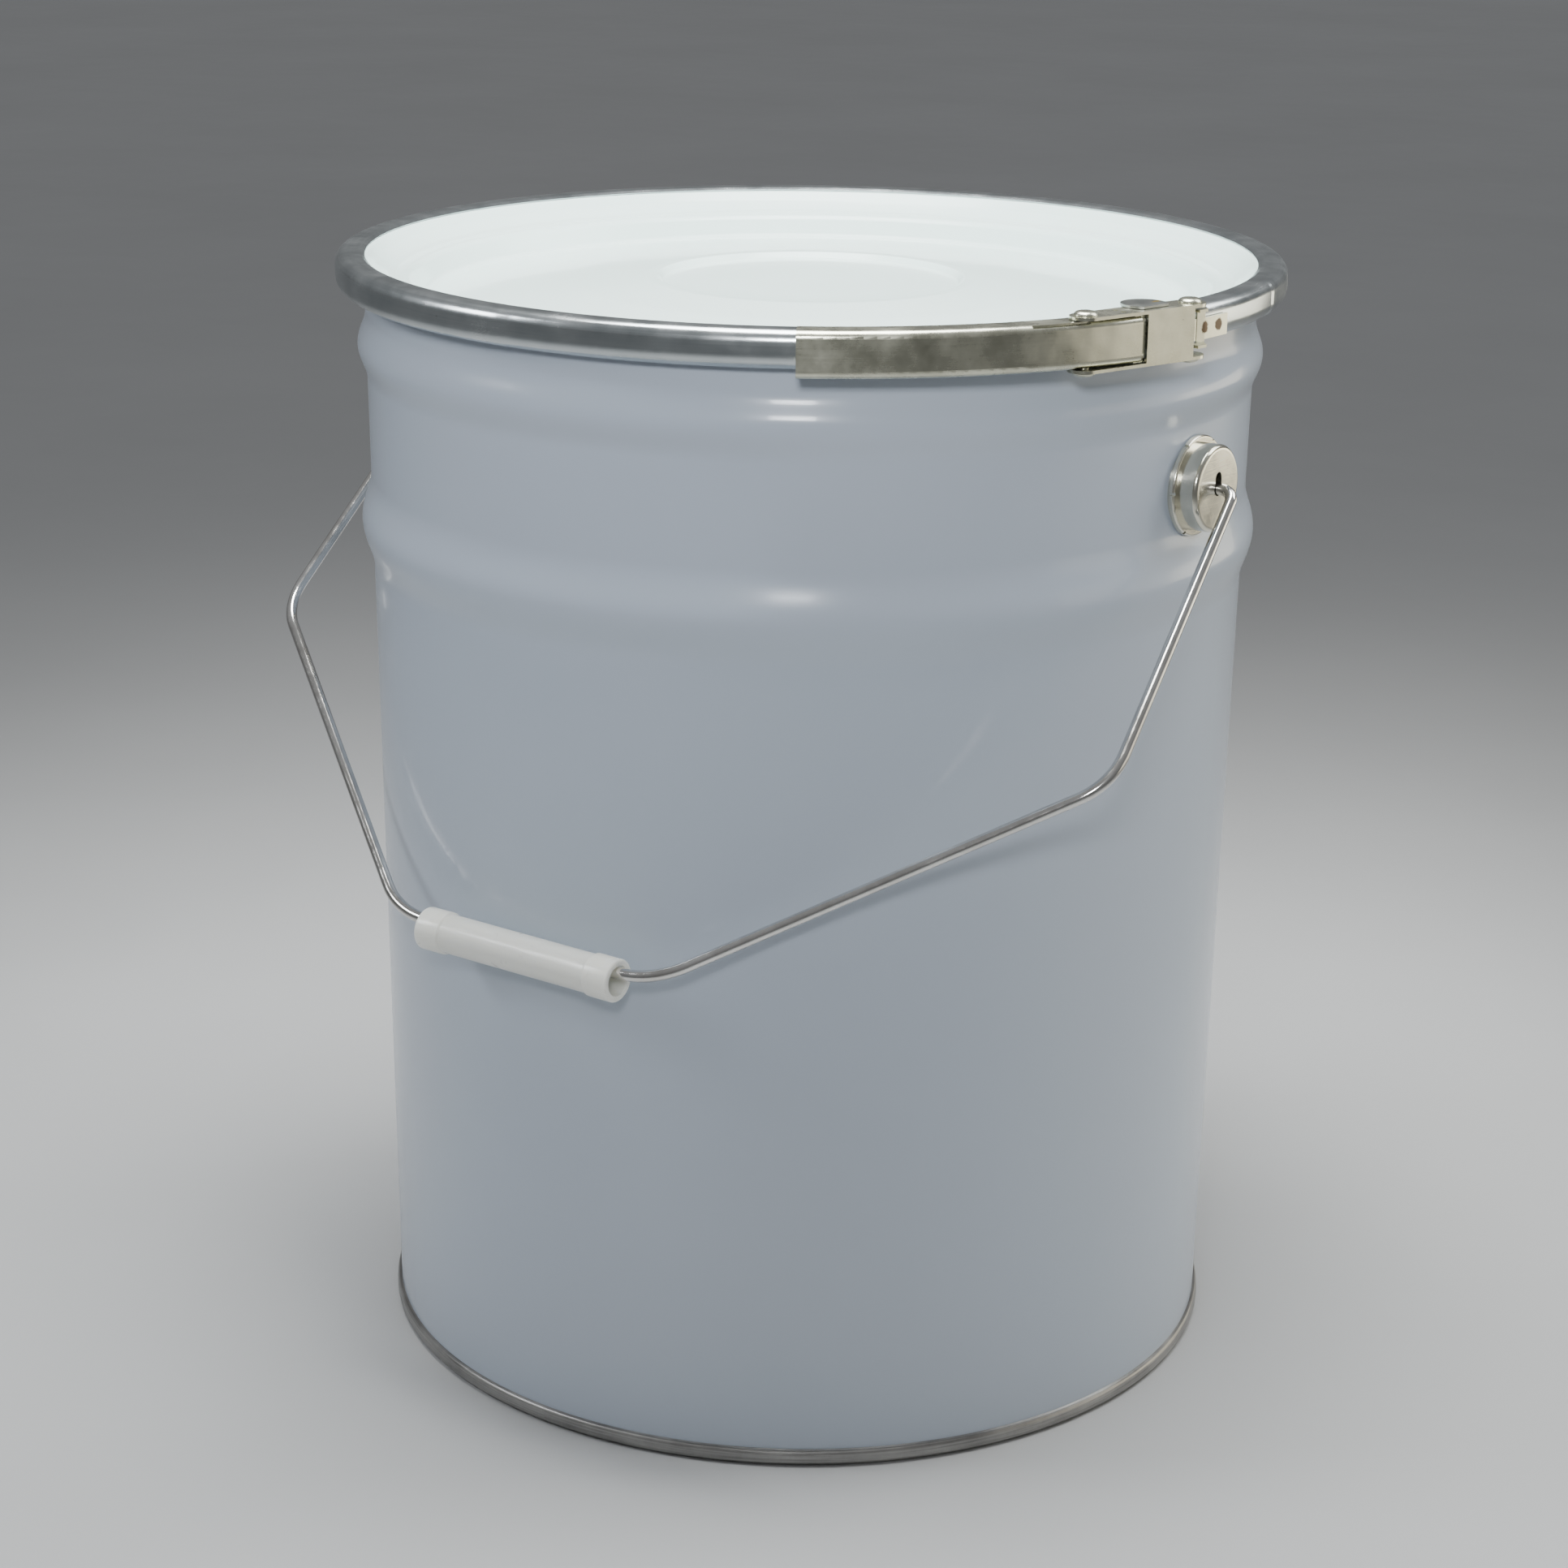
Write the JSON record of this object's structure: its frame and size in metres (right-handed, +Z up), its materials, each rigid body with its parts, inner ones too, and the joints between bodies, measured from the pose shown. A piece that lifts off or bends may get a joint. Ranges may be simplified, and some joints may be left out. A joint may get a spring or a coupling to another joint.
{
  "type": "paint can",
  "caption": "Conical steel pail with rolled beads, a lift-off lid, a lever-lock closing ring and a wire bail with a tubular grip.",
  "frame": {"origin": "The pail's axis on the floor: the centre of the flat foot of its bottom seam.", "axes": "+Z up along the pail's axis; X through the two bail ears, with the closing lever near +X; the bail hangs to -Y."},
  "size_m": [0.3476, 0.326, 0.3871],
  "materials": {
    "lacquer": "glossy white lacquer",
    "lid_lacquer": "glossy white lacquer",
    "bare_steel": "dull bare steel",
    "zinc_steel": "zinc-plated, scuffed",
    "compound": "cured sealing compound",
    "gasket": "flowed-in sealing ring",
    "grip_plastic": "milky polyethylene",
    "bright_wire": "bright plated wire"
  },
  "bodies": {
    "pail": {"body_shell": "lacquer", "bottom_end": "bare_steel", "bottom_seam_compound": "compound", "ear_plate_right": "zinc_steel", "ear_plate_left": "zinc_steel", "ear_cup_right": "zinc_steel", "ear_cup_left": "zinc_steel"},
    "lid": {"lid": "lid_lacquer", "lid_gasket": "gasket"},
    "ring_hinge_half": {"closing_ring_hinge_half": "zinc_steel", "hinge_bracket": "zinc_steel", "hinge_pin": "zinc_steel", "keeper_tongue": "zinc_steel"},
    "ring_tab_half": {"closing_ring_tab_half": "zinc_steel", "tab_bracket": "zinc_steel"},
    "lever": {"lever": "zinc_steel"},
    "link": {"link": "zinc_steel", "link_lever_rivet": "zinc_steel", "link_tab_rivet": "zinc_steel"},
    "bail": {"bail_wire": "bright_wire"},
    "grip": {"grip": "grip_plastic"}
  },
  "joints": [
    {"name": "lid_lift", "type": "slide", "parent": "pail", "child": "lid", "axis": [0, 0, 1], "range_m": [0, 0.12]},
    {"name": "ring_open", "type": "hinge", "parent": "lid", "child": "ring_hinge_half", "pos_m": [-0.15748, 0.03347, 0.377], "axis": [0, 0, -1], "range_deg": [0, 2.19]},
    {"name": "ring_spread", "type": "hinge", "parent": "ring_hinge_half", "child": "ring_tab_half", "pos_m": [-0.15748, 0.03347, 0.377], "axis": [0, 0, 1], "range_deg": [0, 4.38]},
    {"name": "lever_swing", "type": "hinge", "parent": "ring_hinge_half", "child": "lever", "pos_m": [0.15681, -0.04734, 0.377], "axis": [0, 0, 1], "range_deg": [0, 120]},
    {"name": "link_turn", "type": "hinge", "parent": "lever", "child": "link", "pos_m": [0.14869, -0.06871, 0.377], "axis": [0, 0, 1], "range_deg": [-83.52, 0]},
    {"name": "bail_swing", "type": "hinge", "parent": "pail", "child": "bail", "pos_m": [0, 0, 0.322], "axis": [-1, 0, 0], "range_deg": [0, 265.2]},
    {"name": "grip_spin", "type": "hinge", "parent": "bail", "child": "grip", "pos_m": [0, -0.15789, 0.17411], "axis": [1, 0, 0], "continuous": true}
  ],
  "couplings": [
    {"joint": "ring_open", "follows": "lever_swing", "ratio": 0.018262},
    {"joint": "ring_spread", "follows": "lever_swing", "ratio": 0.036523},
    {"joint": "link_turn", "follows": "lever_swing", "ratio": -0.69603}
  ]
}
